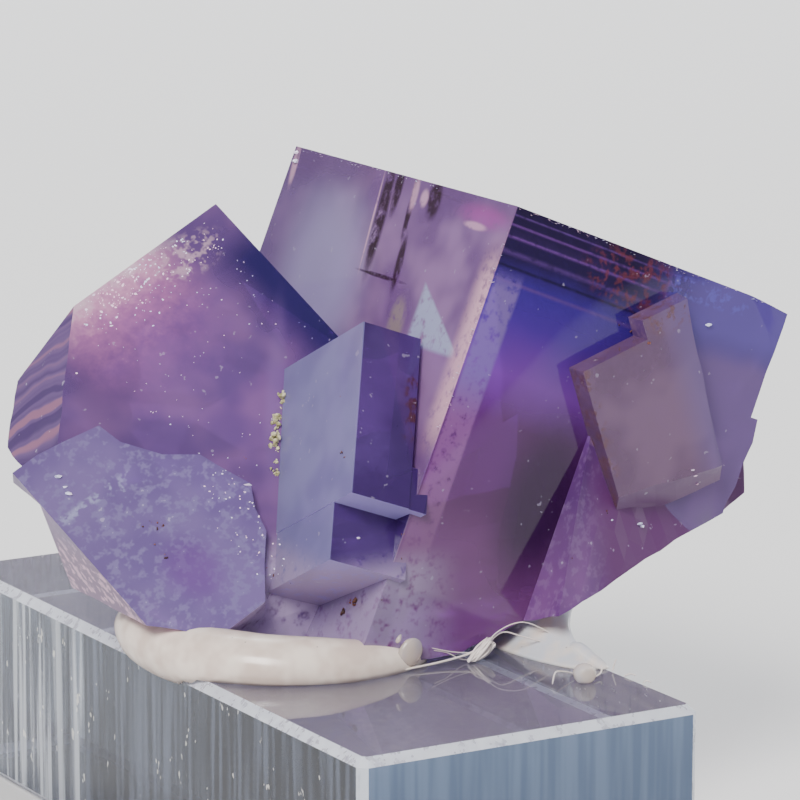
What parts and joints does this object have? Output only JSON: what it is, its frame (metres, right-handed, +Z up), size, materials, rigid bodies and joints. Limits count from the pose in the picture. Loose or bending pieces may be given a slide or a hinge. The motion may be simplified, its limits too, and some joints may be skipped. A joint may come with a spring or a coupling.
{
  "type": "fluorite cluster on display block",
  "caption": "Cluster of intergrown violet fluorite cubes, broken and cleaved at the sides, fixed with glue on a clear acrylic display block.",
  "frame": {"origin": "centre of the block's underside", "axes": "+Z up; +Y along the block's length; the crystals' broad faces look towards -Y and -X"},
  "size_m": [0.0439, 0.051, 0.0393],
  "materials": {
    "fluorite": "clear violet crystal with glassy faces and frosted breaks",
    "acrylic": "clear, polished on top and sawn at the sides",
    "glue": "cream-white hot-melt glue, soft sheen"
  },
  "bodies": {
    "root": {"acrylic_block": "acrylic", "fluorite_cluster": "fluorite", "glue_bead": "glue", "glue_fillet": "glue", "glue_drop": "glue"}
  },
  "joints": []
}
